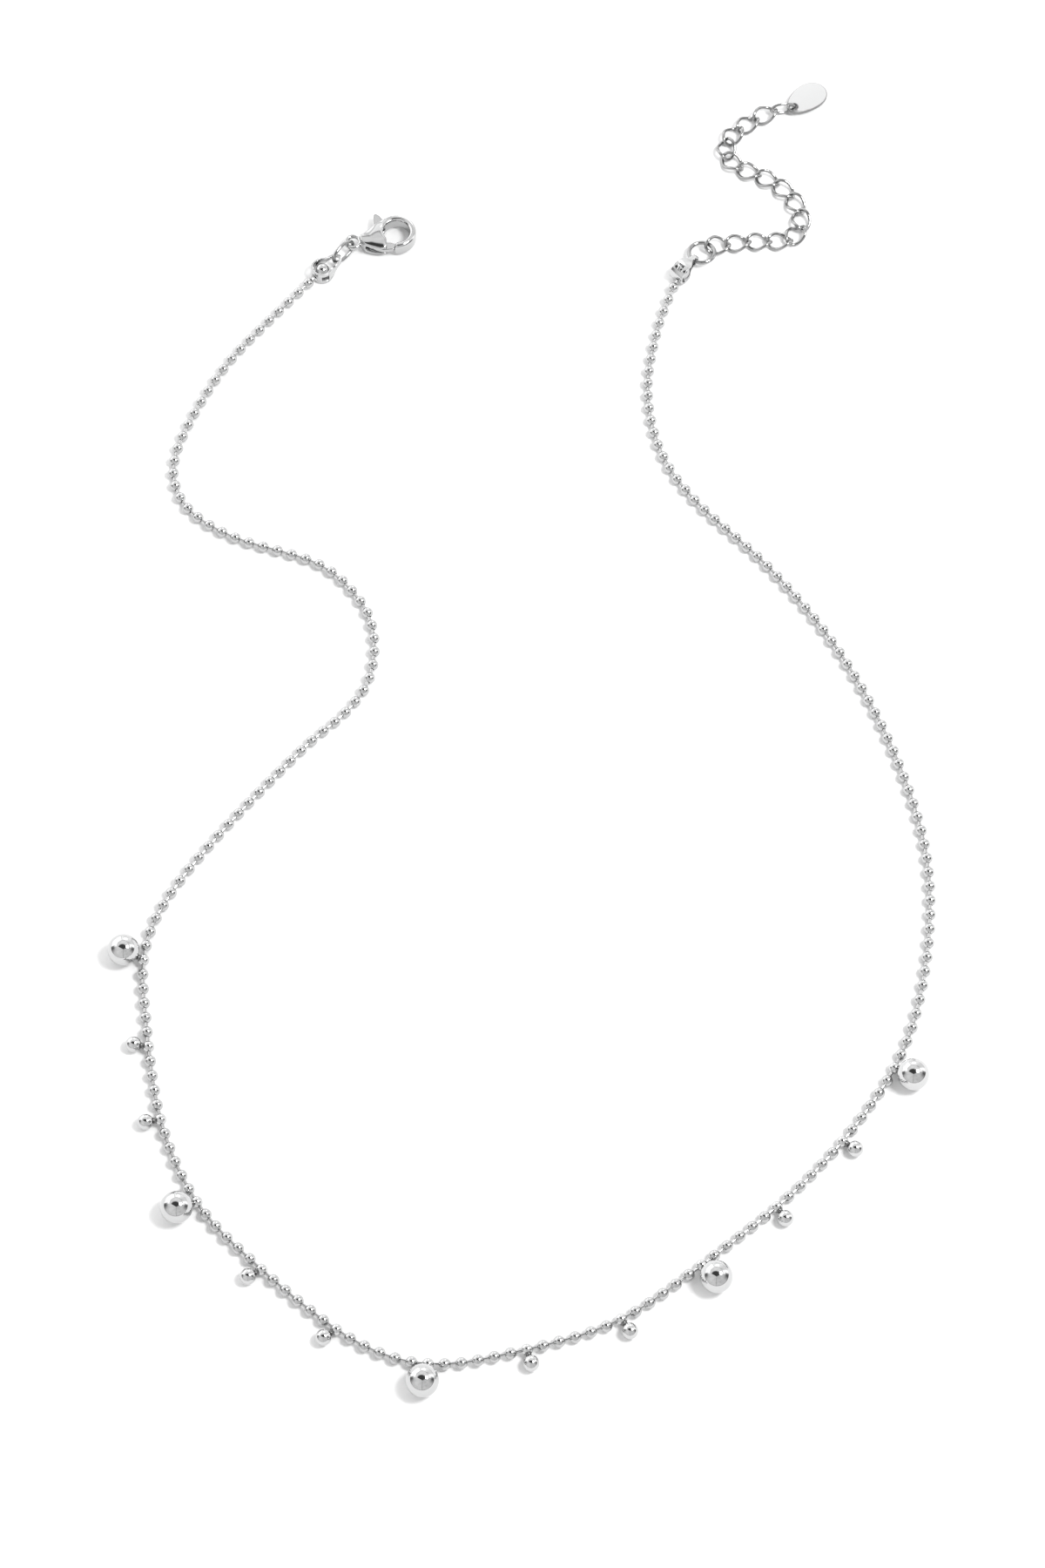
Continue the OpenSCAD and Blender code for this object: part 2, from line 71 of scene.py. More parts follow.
class Value:
    """A socket of a node tree, which Python's operators work on."""

    def __init__(self, nodes, socket):
        self.nodes, self.socket = nodes, socket

    def part(self, name):
        return Value(self.nodes, self.socket.node.outputs[name])

    def maths(self, operation, first, second):
        return self.nodes.node("ShaderNodeMath", {"operation": operation}, {0: first, 1: second})

    def __add__(self, other):
        return self.maths("ADD", self, other)

    def __radd__(self, other):
        return self.maths("ADD", other, self)

    def __sub__(self, other):
        return self.maths("SUBTRACT", self, other)

    def __rsub__(self, other):
        return self.maths("SUBTRACT", other, self)

    def __mul__(self, other):
        return self.maths("MULTIPLY", self, other)

    def __rmul__(self, other):
        return self.maths("MULTIPLY", other, self)

    def __truediv__(self, other):
        return self.maths("DIVIDE", self, other)


class Nodes:
    """A node tree, and the ways in which nodes are added to it."""

    def __init__(self, tree):
        self.tree = tree

    def node(self, kind, settings=None, inputs=None):
        made = self.tree.nodes.new(kind)
        for name, setting in (settings or {}).items():
            setattr(made, name, setting)
        for name, value in (inputs or {}).items():
            if isinstance(value, Value):
                self.tree.links.new(value.socket, made.inputs[name])
            else:
                made.inputs[name].default_value = value
        return Value(self, made.outputs[0]) if made.outputs else None

    def shader(self, **inputs):
        """Sets inputs of the material's own shader, with _ for a space in their names."""
        shader = self.tree.nodes["Principled BSDF"]
        for name, value in inputs.items():
            socket = shader.inputs[name.replace("_", " ")]
            if isinstance(value, Value):
                self.tree.links.new(value.socket, socket)
            else:
                socket.default_value = value

    def mixed(self, factor, first, second):
        """The first colour where the factor is 0 and the second where it is 1."""
        return self.node("ShaderNodeMix", {"data_type": "RGBA"}, {
            "Factor": factor, "A": first, "B": second}).part("Result")

    def named(self, label, kind="FLOAT_VECTOR"):
        """A named attribute of the points."""
        return self.node("GeometryNodeInputNamedAttribute", {"data_type": kind}, {"Name": label})

    def joined(self, parts):
        """Several geometries as one."""
        whole = self.node("GeometryNodeJoinGeometry")
        for part in parts:
            self.tree.links.new(part.socket, whole.socket.node.inputs["Geometry"])
        return whole


def between(value, low, high):
    """A soft step from 0 at low to 1 at high."""
    return value.nodes.node("ShaderNodeMapRange", {"interpolation_type": "SMOOTHSTEP"}, {
        "Value": value, "From Min": low, "From Max": high})


def new_material(name):
    """A material, and the nodes of its tree."""
    material = bpy.data.materials.new(name)
    material.use_nodes = True
    return material, Nodes(material.node_tree)


def steel(name, tone, gloss, cloud, scratches, painted_shade_strength=0.0):
    """Bare stainless steel: a grey tone, a roughness, the size of its cloudy patches in
    millimetres, how strongly fine scratches show, and how strongly painted shade turns it dark
    and dull where the mesh's attribute rim is 1."""
    material, nodes = new_material(name)
    place = nodes.node("ShaderNodeTexCoord").part("Object")
    patches = nodes.node("ShaderNodeTexNoise", {}, {
        "Vector": place, "Scale": 1 / (cloud * MM), "Detail": 3.0, "Roughness": 0.6})
    drawn = nodes.node("ShaderNodeMapping", {}, {"Vector": place, "Scale": (1.0, 9.0, 4.0)})
    hairs = nodes.node("ShaderNodeTexNoise", {}, {
        "Vector": drawn, "Scale": 1 / SCRATCH_SIZE, "Detail": 2.0, "Roughness": 0.7})
    worn = between(hairs, 0.56, 0.74)
    # Painted shade: where the mesh marks it, the steel is painted near black and made duller
    rim = nodes.node("ShaderNodeAttribute", {"attribute_name": "rim"}).part("Fac") * painted_shade_strength
    shade = nodes.mixed(patches, (tone * 0.97, tone * 0.975, tone * 0.98, 1),
                        (tone * 1.03, tone * 1.03, tone * 1.03, 1))
    bump = nodes.node("ShaderNodeBump", {}, {
        "Height": patches * 0.5 + worn * scratches, "Strength": 0.12, "Distance": SCRATCH_DEPTH})
    nodes.shader(
        Metallic=1.0,
        Roughness=(gloss * (0.8 + 0.4 * patches) + scratches * SCRATCH_ROUGHNESS * worn
                   + PAINTED_SHADE_ROUGHNESS * rim),
        Base_Color=nodes.mixed(rim, shade, (PAINTED_SHADE_TONE, PAINTED_SHADE_TONE, PAINTED_SHADE_TONE, 1)),
        Normal=bump)
    return material


def finished(work, name):
    """The mesh of a bmesh."""
    mesh = bpy.data.meshes.new(name)
    work.to_mesh(mesh)
    work.free()
    return mesh


def skinned(work, rings, closed):
    """Smooth faces between each ring of corners and the next, and from the last ring to the
    first if closed. A ring may be a single corner."""
    sides = max(len(ring) for ring in rings)
    for low, high in zip(rings, rings[1:] + rings[:1] * closed):
        for k in range(sides):
            m = (k + 1) % sides
            around = (low[k % len(low)], low[m % len(low)],
                      high[m % len(high)], high[k % len(high)])
            work.faces.new(list(dict.fromkeys(around)))
    bmesh.ops.recalc_face_normals(work, faces=work.faces)
    for face in work.faces:
        face.smooth = True


def turned(name, outline, sides, closed=False):
    """A mesh turned about Z from (radius, height) pairs. An open outline ends on the axis."""
    work = bmesh.new()
    rings = [[work.verts.new((
        radius * math.cos(math.tau * k / sides),
        radius * math.sin(math.tau * k / sides),
        height)) for k in range(sides if radius > ON_AXIS else 1)] for radius, height in outline]
    skinned(work, rings, closed)
    for edge in work.edges:
        edge.smooth = edge.calc_face_angle(0) < SHARP_EDGE
    return finished(work, name)


def linked(name, data):
    """An object at the origin, in the scene."""
    piece = bpy.data.objects.new(name, data)
    bpy.context.scene.collection.objects.link(piece)
    return piece


def placed(name, mesh, nodes, material=None, body="necklace"):
    """A visible piece, which rides on a body and stands for CAD nodes."""
    if material:
        mesh.materials.append(material)
    piece = linked(name, mesh)
    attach(piece, body)
    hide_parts(*nodes)


def node_group(name, sockets):
    """An empty Geometry Nodes tree with named inputs, and a value for each input."""
    tree = bpy.data.node_groups.new(name, "GeometryNodeTree")
    tree.is_modifier = True
    for label, kind in sockets.items():
        tree.interface.new_socket(label, in_out="INPUT", socket_type="NodeSocket" + kind)
    tree.interface.new_socket("Geometry", in_out="OUTPUT", socket_type="NodeSocketGeometry")
    nodes = Nodes(tree)
    start = nodes.node("NodeGroupInput")
    return nodes, {label: start.part(label) for label in sockets}


def end_group(nodes, geometry, material):
    """Closes a tree: its copies are made real, and take their material."""
    real = nodes.node("GeometryNodeRealizeInstances", {}, {"Geometry": geometry})
    dressed = nodes.node("GeometryNodeSetMaterial", {}, {"Geometry": real, "Material": material})
    nodes.node("NodeGroupOutput", {}, {"Geometry": dressed})
    return nodes.tree


def evaluated(piece):
    """The mesh that an object's modifiers make. The object is removed."""
    depsgraph = bpy.context.evaluated_depsgraph_get()
    mesh = bpy.data.meshes.new_from_object(piece.evaluated_get(depsgraph), depsgraph=depsgraph)
    piece.modifiers.clear()
    bpy.data.objects.remove(piece)
    return mesh


def grown(name, start, tree, values):
    """The plain mesh that a tree makes of a start mesh."""
    piece = linked(name, start)
    modifier = piece.modifiers.new(tree.name, "NODES")
    modifier.node_group = tree
    for item in tree.interface.items_tree:
        if item.in_out == "INPUT" and item.name in values:
            modifier[item.identifier] = values[item.name]
    mesh = evaluated(piece)
    mesh.name = name
    return mesh


def points_mesh(name, points, joined=False, **labelled):
    """A mesh of bare points, in a row if joined, that carries named vectors or numbers."""
    mesh = bpy.data.meshes.new(name)
    edges = [(k, k + 1) for k in range(len(points) - 1)] if joined else []
    mesh.from_pydata([tuple(p) for p in points], edges, [])
    for label, values in labelled.items():
        table = np.array(values, np.float32)
        kind, key = ("FLOAT_VECTOR", "vector") if table.ndim == 2 else ("FLOAT", "value")
        mesh.attributes.new(label, kind, "POINT").data.foreach_set(key, table.ravel())
    return mesh


def solids(node):
    """The separate solids of a CAD node, each as an array of its corners."""
    work = bmesh.new()
    work.from_mesh(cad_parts[node].data)
    bmesh.ops.remove_doubles(work, verts=work.verts, dist=SAME_SPOT)
    seen, parts = set(), []
    for first in work.verts:
        if first in seen:
            continue
        seen.add(first)
        part, rest = [], [first]
        while rest:
            vert = rest.pop()
            part.append(tuple(vert.co))
            for edge in vert.link_edges:
                other = edge.other_vert(vert)
                if other not in seen:
                    seen.add(other)
                    rest.append(other)
        parts.append(np.array(part))
    work.free()
    return parts


def ball_centre(points):
    """The centre of the ball on which these corners lie."""
    middle = points.mean(0)
    offsets = (points - middle) / MM
    table = np.column_stack([2 * offsets, np.ones(len(offsets))])
    return middle + MM * np.linalg.lstsq(table, (offsets ** 2).sum(1), rcond=None)[0][:3]


def box_middle(node):
    """The middle of a CAD node's box."""
    low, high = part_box(node)
    return (np.array(low) + np.array(high)) / 2


def unit(vector):
    return np.array(vector) / np.linalg.norm(vector)


DROP_NAMES = {
    "large": [f"drop_large_{k}" for k in range(1, 6)],
    "small": [f"drop_small_{k}" for k in range(1, 9)],
}
DROP_BALL = {"large": 4.0 * MM, "small": 2.0 * MM}
JUST_ABOVE = 0.02 * MM
WELL_AWAY = 0.5 * MM

# The centres of each drop's chain ball and of its own ball. Its own ball stands higher than
# the chain, and the corners that lie well away from that are its chain ball's.
drops = {}
for size, names in DROP_NAMES.items():
    for name in names:
        points = solids(name)[0]
        ball = ball_centre(points[points[:, 2] > CHAIN_BALL + JUST_ABOVE])
        far = np.linalg.norm(points - ball, axis=1) > DROP_BALL[size] / 2 + WELL_AWAY
        drops[name] = (ball_centre(points[far]), ball)

# All balls in their order along the wire, and whether each is a plain ball of the chain
held_left, held_right = box_middle("end_ball_left"), box_middle("end_ball_right")
left = {tuple(ball_centre(part)): 1.0 for part in solids("ball_chain")}
left.update({tuple(bead): 0.0 for bead, _ in drops.values()})
row, plain, here = [held_left], [0.0], held_left
while left:
    here = min(left, key=lambda ball: np.linalg.norm(np.subtract(ball, here)))
    row.append(np.array(here))
    plain.append(left.pop(here))
row.append(held_right)
plain.append(0.0)

lip = math.asin(CHAIN_BORE / CHAIN_BALL)
chain_ball = turned("chain_ball", [
    (CHAIN_BALL / 2 * math.sin(t), CHAIN_BALL / 2 * math.cos(t))
    for t in (lip + (math.pi - 2 * lip) * k / BALL_STEPS for k in range(BALL_STEPS + 1))],
    BALL_SIDES, closed=True)

tumbled = steel("tumbled_chain_balls", tone=0.5, gloss=0.065, cloud=1.1, scratches=0.2)

nodes, given = node_group("Balls on a wire", {
    "Geometry": "Geometry", "Ball": "Object", "Bar diameter": "Float", "Bar sides": "Int",
    "Material": "Material"})
line = nodes.node("GeometryNodeMeshToCurve", {}, {"Mesh": given["Geometry"]})
spots = nodes.node("GeometryNodeCurveToPoints", {"mode": "EVALUATED"}, {"Curve": line})
along = nodes.node("FunctionNodeAlignRotationToVector", {"axis": "Z"}, {
    "Vector": spots.part("Tangent")})
shape = nodes.node("GeometryNodeObjectInfo", {}, {"Object": given["Ball"]}).part("Geometry")
balls = nodes.node("GeometryNodeInstanceOnPoints", {}, {
    "Points": spots, "Selection": nodes.named("plain", "FLOAT"), "Instance": shape,
    "Rotation": along})
section = nodes.node("GeometryNodeCurvePrimitiveCircle", {}, {
    "Resolution": given["Bar sides"], "Radius": given["Bar diameter"] / 2})
bar = nodes.node("GeometryNodeCurveToMesh", {}, {
    "Curve": line, "Profile Curve": section, "Fill Caps": True})
smooth = nodes.node("GeometryNodeSetShadeSmooth", {}, {"Geometry": bar})
strung_balls = end_group(nodes, nodes.joined([balls, smooth]), given["Material"])

# The trees repeat this object, and one for each size of drop. They aren't in the scene.
one_ball = bpy.data.objects.new("one_chain_ball", chain_ball)
placed("ball_chain_balls", grown(
    "ball_chain_balls", points_mesh("chain_row", row, joined=True, plain=plain), strung_balls,
    {"Ball": one_ball, "Bar diameter": CHAIN_BAR, "Bar sides": BAR_SIDES, "Material": tumbled}),
    ["ball_chain", "chain_wire"])


# ---- Drops ----
# Five large and eight small solid steel balls, polished to a mirror. Each is soldered by a
# short neck to a chain ball of its own, and the solder fills the corner all round. The neck and
# its fillet are painted near black and dull: painted shade in the corner between the two balls.

DROP_NECK = 0.7 * MM
DROP_FILLET = 0.5 * MM
DROP_SIDES = {"large": 72, "small": 40}
DROP_STEPS = {"large": 36, "small": 20}
NECK_STEPS = (-0.8, -0.45, 0.0, 0.45, 0.8)
NECK_FLARE = 2.5
FOOT_SUNK, FILLET_SUNK = 0.1 * MM, 0.02 * MM

mirror = steel("mirror_drops", tone=0.57, gloss=0.035, cloud=2.6, scratches=0.25, painted_shade_strength=0.85)

nodes, given = node_group("Drops soldered to chain balls", {
    "Geometry": "Geometry", "Ball": "Object", "Drop": "Object", "Material": "Material"})
pieces = []
for label, heading in (("Ball", "way"), ("Drop", "out")):
    turn = nodes.node("FunctionNodeAlignRotationToVector", {"axis": "Z"}, {
        "Vector": nodes.named(heading)})
    shape = nodes.node("GeometryNodeObjectInfo", {}, {"Object": given[label]}).part("Geometry")
    pieces.append(nodes.node("GeometryNodeInstanceOnPoints", {}, {
        "Points": given["Geometry"], "Instance": shape, "Rotation": turn}))
soldered_drops = end_group(nodes, nodes.joined(pieces), given["Material"])

for size, names in DROP_NAMES.items():
    beads, balls = zip(*(drops[name] for name in names))
    order = [min(range(len(row)), key=lambda k: np.linalg.norm(row[k] - bead)) for bead in beads]
    ways = [unit(row[k + 1] - row[k - 1]) for k in order]
    outs = [unit(ball - bead) for bead, ball in zip(beads, balls)]

    # The drop stands on its chain ball's centre and points up: the neck, then its own ball
    radius, neck, steps = DROP_BALL[size] / 2, DROP_NECK / 2, DROP_STEPS[size]
    reach = float(np.linalg.norm(balls[0] - beads[0]))
    low = math.sqrt((CHAIN_BALL / 2) ** 2 - DROP_FILLET ** 2)
    high = reach - math.sqrt(radius ** 2 - DROP_FILLET ** 2)
    waist = (low + high) / 2
    start = math.asin(DROP_FILLET / radius)
    outline = [(0, low - FOOT_SUNK), (DROP_FILLET, low - FILLET_SUNK)]
    outline += [(neck + (DROP_FILLET - neck) * abs(t) ** NECK_FLARE,
                 waist + (high - low) / 2 * t) for t in NECK_STEPS]
    outline += [(radius * math.sin(t), reach - radius * math.cos(t))
                for t in (start + (math.pi - start) * k / steps for k in range(steps))]
    outline.append((0, reach + radius))
    mesh = turned(f"{size}_drop", outline, DROP_SIDES[size])
    # Painted shade: the neck below the drop's own ball is marked to be painted near black and
    # dull
    neck_shade = mesh.attributes.new("rim", "FLOAT", "POINT").data
    for vert in mesh.vertices:
        neck_shade[vert.index].value = float(vert.co.z < high)

    one_drop = bpy.data.objects.new(f"one_{size}_drop", mesh)
    placed(f"drops_{size}_balls", grown(
        f"drops_{size}_balls", points_mesh(f"{size}_spots", beads, way=ways, out=outs),
        soldered_drops, {"Ball": one_ball, "Drop": one_drop, "Material": mirror}), names)
    bpy.data.objects.remove(one_drop)
bpy.data.objects.remove(one_ball)


# ---- End connectors and the balls in them ----
# At each end of the chain a strap of thin spring steel, pressed and folded round a larger
# ball, with a window in each side and a narrow tongue that holds the next ring.

STRAP_EASE = 0.05 * MM
STRAP_CORNER = math.radians(28)
FLAT = math.radians(0.5)
HELD_BALL = 2.1 * MM
HELD_BORE_DEPTH = 0.4 * MM
HELD_STEPS = 16
HELD_SIDES = 32

pressed = steel("pressed_straps", tone=0.56, gloss=0.09, cloud=0.8, scratches=0.3)


def merged(nodes):
    """The meshes of CAD nodes as one, in millimetres, without double corners."""
    work = bmesh.new()
    for node in nodes:
        work.from_mesh(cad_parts[node].data)
    bmesh.ops.remove_doubles(work, verts=work.verts, dist=SAME_SPOT)
    bmesh.ops.scale(work, vec=(1 / MM,) * 3, verts=work.verts)
    return work


def eased(node, width, segments):
    """A copy of a CAD node's mesh with its edges rounded over."""
    work = merged([node])
    bmesh.ops.dissolve_limit(work, angle_limit=FLAT, verts=work.verts, edges=work.edges)
    for face in work.faces:
        face.smooth = True
    piece = linked(node + "_eased", finished(work, node + "_eased"))
    bevel = piece.modifiers.new("edges", "BEVEL")
    bevel.width, bevel.segments = width / MM, segments
    bevel.limit_method, bevel.angle_limit = "ANGLE", STRAP_CORNER
    bevel.harden_normals = True
    result = evaluated(piece)
    result.transform(Matrix.Scale(MM, 4))
    return result


lip = math.asin(CHAIN_BORE / HELD_BALL)
held_outline = [(0, HELD_BALL / 2 - HELD_BORE_DEPTH),
                (CHAIN_BORE / 2, HELD_BALL / 2 - HELD_BORE_DEPTH)]
held_outline += [(HELD_BALL / 2 * math.sin(t), HELD_BALL / 2 * math.cos(t))
                 for t in (lip + (math.pi - lip) * k / HELD_STEPS for k in range(HELD_STEPS))]
held_outline.append((0, -HELD_BALL / 2))
for side, held, next_ball in (("left", held_left, row[1]), ("right", held_right, row[-2])):
    placed(f"connector_{side}_strap", eased(f"connector_{side}", STRAP_EASE, 2),
           [f"connector_{side}"], pressed)
    mesh = turned(f"end_ball_{side}_mesh", held_outline, HELD_SIDES)
    facing = Vector(next_ball - held).to_track_quat("Z", "Y").to_matrix().to_4x4()
    mesh.transform(Matrix.Translation(held) @ facing)
    placed(f"end_ball_{side}_ball", mesh, [f"end_ball_{side}"], tumbled)


# ---- Clasp ----
# A cast lobster clasp with soft edges: an eye, two cheeks and a hook in one piece, a rivet
# through the cheeks, and between them a sprung lever with a thumb tab.

CLASP_EYE = np.array((-23.59, 69.79)) * MM
CLASP_HEADING = math.radians(12)
CLASP_GRAIN, CLASP_ROUNDS = 0.05 * MM, 110
LEVER_GRAIN, LEVER_ROUNDS = 0.04 * MM, 30
PLATE_REACH = (1.0, 1.8, 4.6, 6.2)
PLATE_SHARES = (0.3, 1.0, 1.0, 0.5)
CLASP_SLOT = 0.9 * MM
CLASP_CROWN = 0.36 * MM
CROWN_POWER = 3.6
CROWN_RISE, CROWN_FALL = (0.9, 2.1), (4.0, 6.0)
CROWN_DEPTH = 0.7
CROWN_STRIPS, STRIPS_PER_MM = 50, 5
RIVET = 0.8 * MM
RIVET_SIDES = 32
RIVET_END, BESIDE_RIVET, LEVEL_BAND = 0.6 * RIVET, 0.7 * RIVET, 0.1 * MM
RIVET_END_DEPTH = 0.25

cast = steel("cast_clasp", tone=0.51, gloss=0.08, cloud=1.6, scratches=0.1)


def softened(name, nodes, grain, rounds, soft=None, shape=None):
    """CAD nodes as one mesh with rounded edges, as a cast and tumbled piece has. Each round
    moves each point half the way to the middle of its neighbours. Where soft is given, it
    says from 0 to 1 how far a point takes part. Where shape is given, it moves the points
    first."""
    piece = linked(name, finished(merged(nodes), name))
    remesh = piece.modifiers.new("grain", "REMESH")
    remesh.mode, remesh.voxel_size, remesh.use_smooth_shade = "VOXEL", grain / MM, True
    result = evaluated(piece)
    result.transform(Matrix.Scale(MM, 4))
    spots = np.empty(3 * len(result.vertices))
    result.vertices.foreach_get("co", spots)
    spots = spots.reshape(-1, 3)
    edges = np.empty(2 * len(result.edges), int)
    result.edges.foreach_get("vertices", edges)
    first, second = edges.reshape(-1, 2).T
    neighbours = np.bincount(edges, minlength=len(spots))[:, None]
    if shape is not None:
        spots = shape(spots)
    share = 0.5 * (np.ones(len(spots)) if soft is None else soft(spots))[:, None]
    for _ in range(rounds):
        total = np.stack([
            np.bincount(first, spots[second, k], len(spots))
            + np.bincount(second, spots[first, k], len(spots)) for k in range(3)], 1)
        spots += share * (total / neighbours - spots)
    result.vertices.foreach_set("co", spots.ravel())
    result.update()
    return result


def along_clasp(spots):
    """How far each point is from the eye towards the hook, in millimetres."""
    heading = (math.cos(CLASP_HEADING), math.sin(CLASP_HEADING))
    return (spots[:, :2] - CLASP_EYE) @ heading / MM


def across_clasp(spots):
    """How far each point is to the left of the clasp's middle line, in millimetres."""
    left = (-math.sin(CLASP_HEADING), math.cos(CLASP_HEADING))
    return (spots[:, :2] - CLASP_EYE) @ left / MM


def plate_share(spots):
    """The cheeks are rounded fully, the hook half as much and the eye least."""
    return np.interp(along_clasp(spots), PLATE_REACH, PLATE_SHARES)


def ramp(value, low, high):
    """From 0 at low to 1 at high, in a straight line."""
    return np.clip((value - low) / (high - low), 0, 1)


def crowned(spots):
    """The cheeks made lower towards their edges and fullest along their middle, with the
    rivet's end level with the cheek beside it. Works in millimetres up from the middle."""
    reach, across = along_clasp(spots), across_clasp(spots)
    middle = box_middle("clasp_body")[2]
    above = (spots[:, 2] - middle) / MM
    strip = np.clip(reach * STRIPS_PER_MM, 0, CROWN_STRIPS - 1).astype(int)
    least, most = np.full(CROWN_STRIPS, np.inf), np.full(CROWN_STRIPS, -np.inf)
    np.minimum.at(least, strip, across)
    np.maximum.at(most, strip, across)
    off = (2 * across - least[strip] - most[strip]) / (most - least)[strip]
    on_cheeks = ramp(reach, *CROWN_RISE) * (1 - ramp(reach, *CROWN_FALL))
    slot = CLASP_SLOT / MM / 2
    outside = ramp(np.abs(above), slot, slot + CROWN_DEPTH)
    moved = spots.copy()
    moved[:, 2] -= np.sign(above) * CLASP_CROWN * np.abs(off) ** CROWN_POWER * on_cheeks * outside
    from_rivet = np.hypot(*(spots[:, :2] - box_middle("clasp_rivet")[:2]).T)
    level = np.abs(above[np.abs(from_rivet - BESIDE_RIVET) < LEVEL_BAND]).max()
    end = (from_rivet < RIVET_END) & (np.abs(above) > level - RIVET_END_DEPTH)
    moved[end, 2] = middle + np.sign(above[end]) * level * MM
    return moved


placed("clasp_body_cast", softened(
    "clasp_body_cast", ["clasp_body", "clasp_rivet"], CLASP_GRAIN, CLASP_ROUNDS,
    plate_share, crowned), ["clasp_body"], cast)
placed("clasp_lever_gate", softened(
    "clasp_lever_gate", ["clasp_lever"], LEVER_GRAIN, LEVER_ROUNDS),
    ["clasp_lever"], cast, body="lever")

# The pin is turned, with a rounded edge at each end
low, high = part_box("clasp_rivet")
half = (high.z - low.z) / 2
rivet_outline = [
    (0, -half), (0.25 * MM, -half + 0.01 * MM), (RIVET / 2 - 0.06 * MM, -half + 0.04 * MM),
    (RIVET / 2, -half + 0.1 * MM)]
rivet_outline += [(radius, -height) for radius, height in reversed(rivet_outline)]
mesh = turned("rivet", rivet_outline, RIVET_SIDES)
mesh.transform(Matrix.Translation((low + high) / 2))
placed("clasp_rivet_pin", mesh, ["clasp_rivet"], cast)


# ---- Rings and curb links ----
# Round wire, bent and closed: an oval ring between strap and clasp, a round ring and fifteen
# twisted curb links for the extension, and a small oval ring for the tag.

drawn_wire = steel("drawn_wire", tone=0.34, gloss=0.07, cloud=0.7, scratches=0.2)


def pose(node, away_from=None):
    """Where a CAD node lies: its middle, and its axes from the longest to the shortest."""
    points = np.unique(np.round(np.concatenate(solids(node)), 7), axis=0)
    middle = points.mean(0)
    axes = np.linalg.eigh(np.cov((points - middle).T))[1][:, ::-1].T
    if axes[2][2] < 0:
        axes[2] = -axes[2]
    if away_from is not None and axes[0] @ (middle - away_from) < 0:
        axes[0] = -axes[0]
    axes[1] = np.cross(axes[2], axes[0])
    reach = (points - middle) @ axes.T
    middle = middle + (reach.min(0) + reach.max(0)) / 2 @ axes
    return Matrix.Translation(middle) @ Matrix(axes.T.tolist()).to_4x4()


nodes, given = node_group("Bent wire loops", {
    "Geometry": "Geometry", "Length": "Float", "Width": "Float", "Wire": "Float",
    "Twist": "Float", "Steps": "Int", "Sides": "Int", "Material": "Material"})
circle = nodes.node("GeometryNodeCurvePrimitiveCircle", {}, {
    "Resolution": given["Steps"], "Radius": 1.0})
place = nodes.node("ShaderNodeSeparateXYZ", {}, {
    "Vector": nodes.node("GeometryNodeInputPosition")})
half_length = (given["Length"] - given["Wire"]) / 2
half_width = (given["Width"] - given["Wire"]) / 2
roll = given["Twist"] / 2 * place.part("X")
across = half_width * place.part("Y")
cosine = nodes.node("ShaderNodeMath", {"operation": "COSINE"}, {0: roll})
sine = nodes.node("ShaderNodeMath", {"operation": "SINE"}, {0: roll})
spot = nodes.node("ShaderNodeCombineXYZ", {}, {
    "X": half_length * place.part("X"), "Y": across * cosine, "Z": across * sine})
loop = nodes.node("GeometryNodeSetPosition", {}, {"Geometry": circle, "Position": spot})
section = nodes.node("GeometryNodeCurvePrimitiveCircle", {}, {
    "Resolution": given["Sides"], "Radius": given["Wire"] / 2})
wire = nodes.node("GeometryNodeCurveToMesh", {}, {"Curve": loop, "Profile Curve": section})
smooth = nodes.node("GeometryNodeSetShadeSmooth", {}, {"Geometry": wire})
turn = nodes.node("FunctionNodeEulerToRotation", {}, {"Euler": nodes.named("turn")})
loops = nodes.node("GeometryNodeInstanceOnPoints", {}, {
    "Points": given["Geometry"], "Instance": smooth, "Rotation": turn})
bent_wire = end_group(nodes, loops, given["Material"])


def wire_loops(name, names, length, width, wire, twist, steps, sides):
    """One piece of like wire loops, each where its CAD node lies. Sizes are in millimetres
    and the twist from end to end is in degrees."""
    poses = [pose(node) for node in names]
    start = points_mesh(name + "_spots", [p.translation for p in poses],
                        turn=[tuple(p.to_euler()) for p in poses])
    placed(name, grown(name, start, bent_wire, {
        "Length": length * MM, "Width": width * MM, "Wire": wire * MM,
        "Twist": math.radians(twist), "Steps": steps, "Sides": sides,
        "Material": drawn_wire}), names)


wire_loops("clasp_ring_wire", ["clasp_ring"],
           length=4.3, width=2.4, wire=0.5, twist=0, steps=64, sides=16)
wire_loops("extension_ring_wire", ["extension_ring"],
           length=4.1, width=4.1, wire=0.6, twist=0, steps=96, sides=18)
wire_loops("extension_links", [f"link_{k}" for k in range(1, 16)],
           length=3.9, width=2.9, wire=0.46, twist=-90, steps=56, sides=14)
wire_loops("tag_ring_wire", ["tag_ring"],
           length=3.8, width=2.0, wire=0.4, twist=0, steps=56, sides=14)


# ---- Tag ----
# A leaf of thin sheet, punched out and tumbled until its edge is round, a little narrower at
# the hole for its ring. Both faces are left bare. Its rounded edges, at the outline and the
# hole, are painted darker and duller: painted shade.

TAG_LENGTH, TAG_WIDTH, TAG_SHEET = 7.0 * MM, 4.4 * MM, 0.45 * MM
TAG_HOLE = 1.15 * MM
TAG_HOLE_FROM_END = TAG_HOLE / 2 + 0.475 * MM
TAG_TAPER = 0.24
TAG_ROUND = 0.11 * MM
TAG_LINE = 0.06 * MM
TAG_SIDES = 96
ROUND_STEPS = 4

satin = steel("tumbled_tag", tone=0.43, gloss=0.2, cloud=0.9, scratches=0.4, painted_shade_strength=0.55)
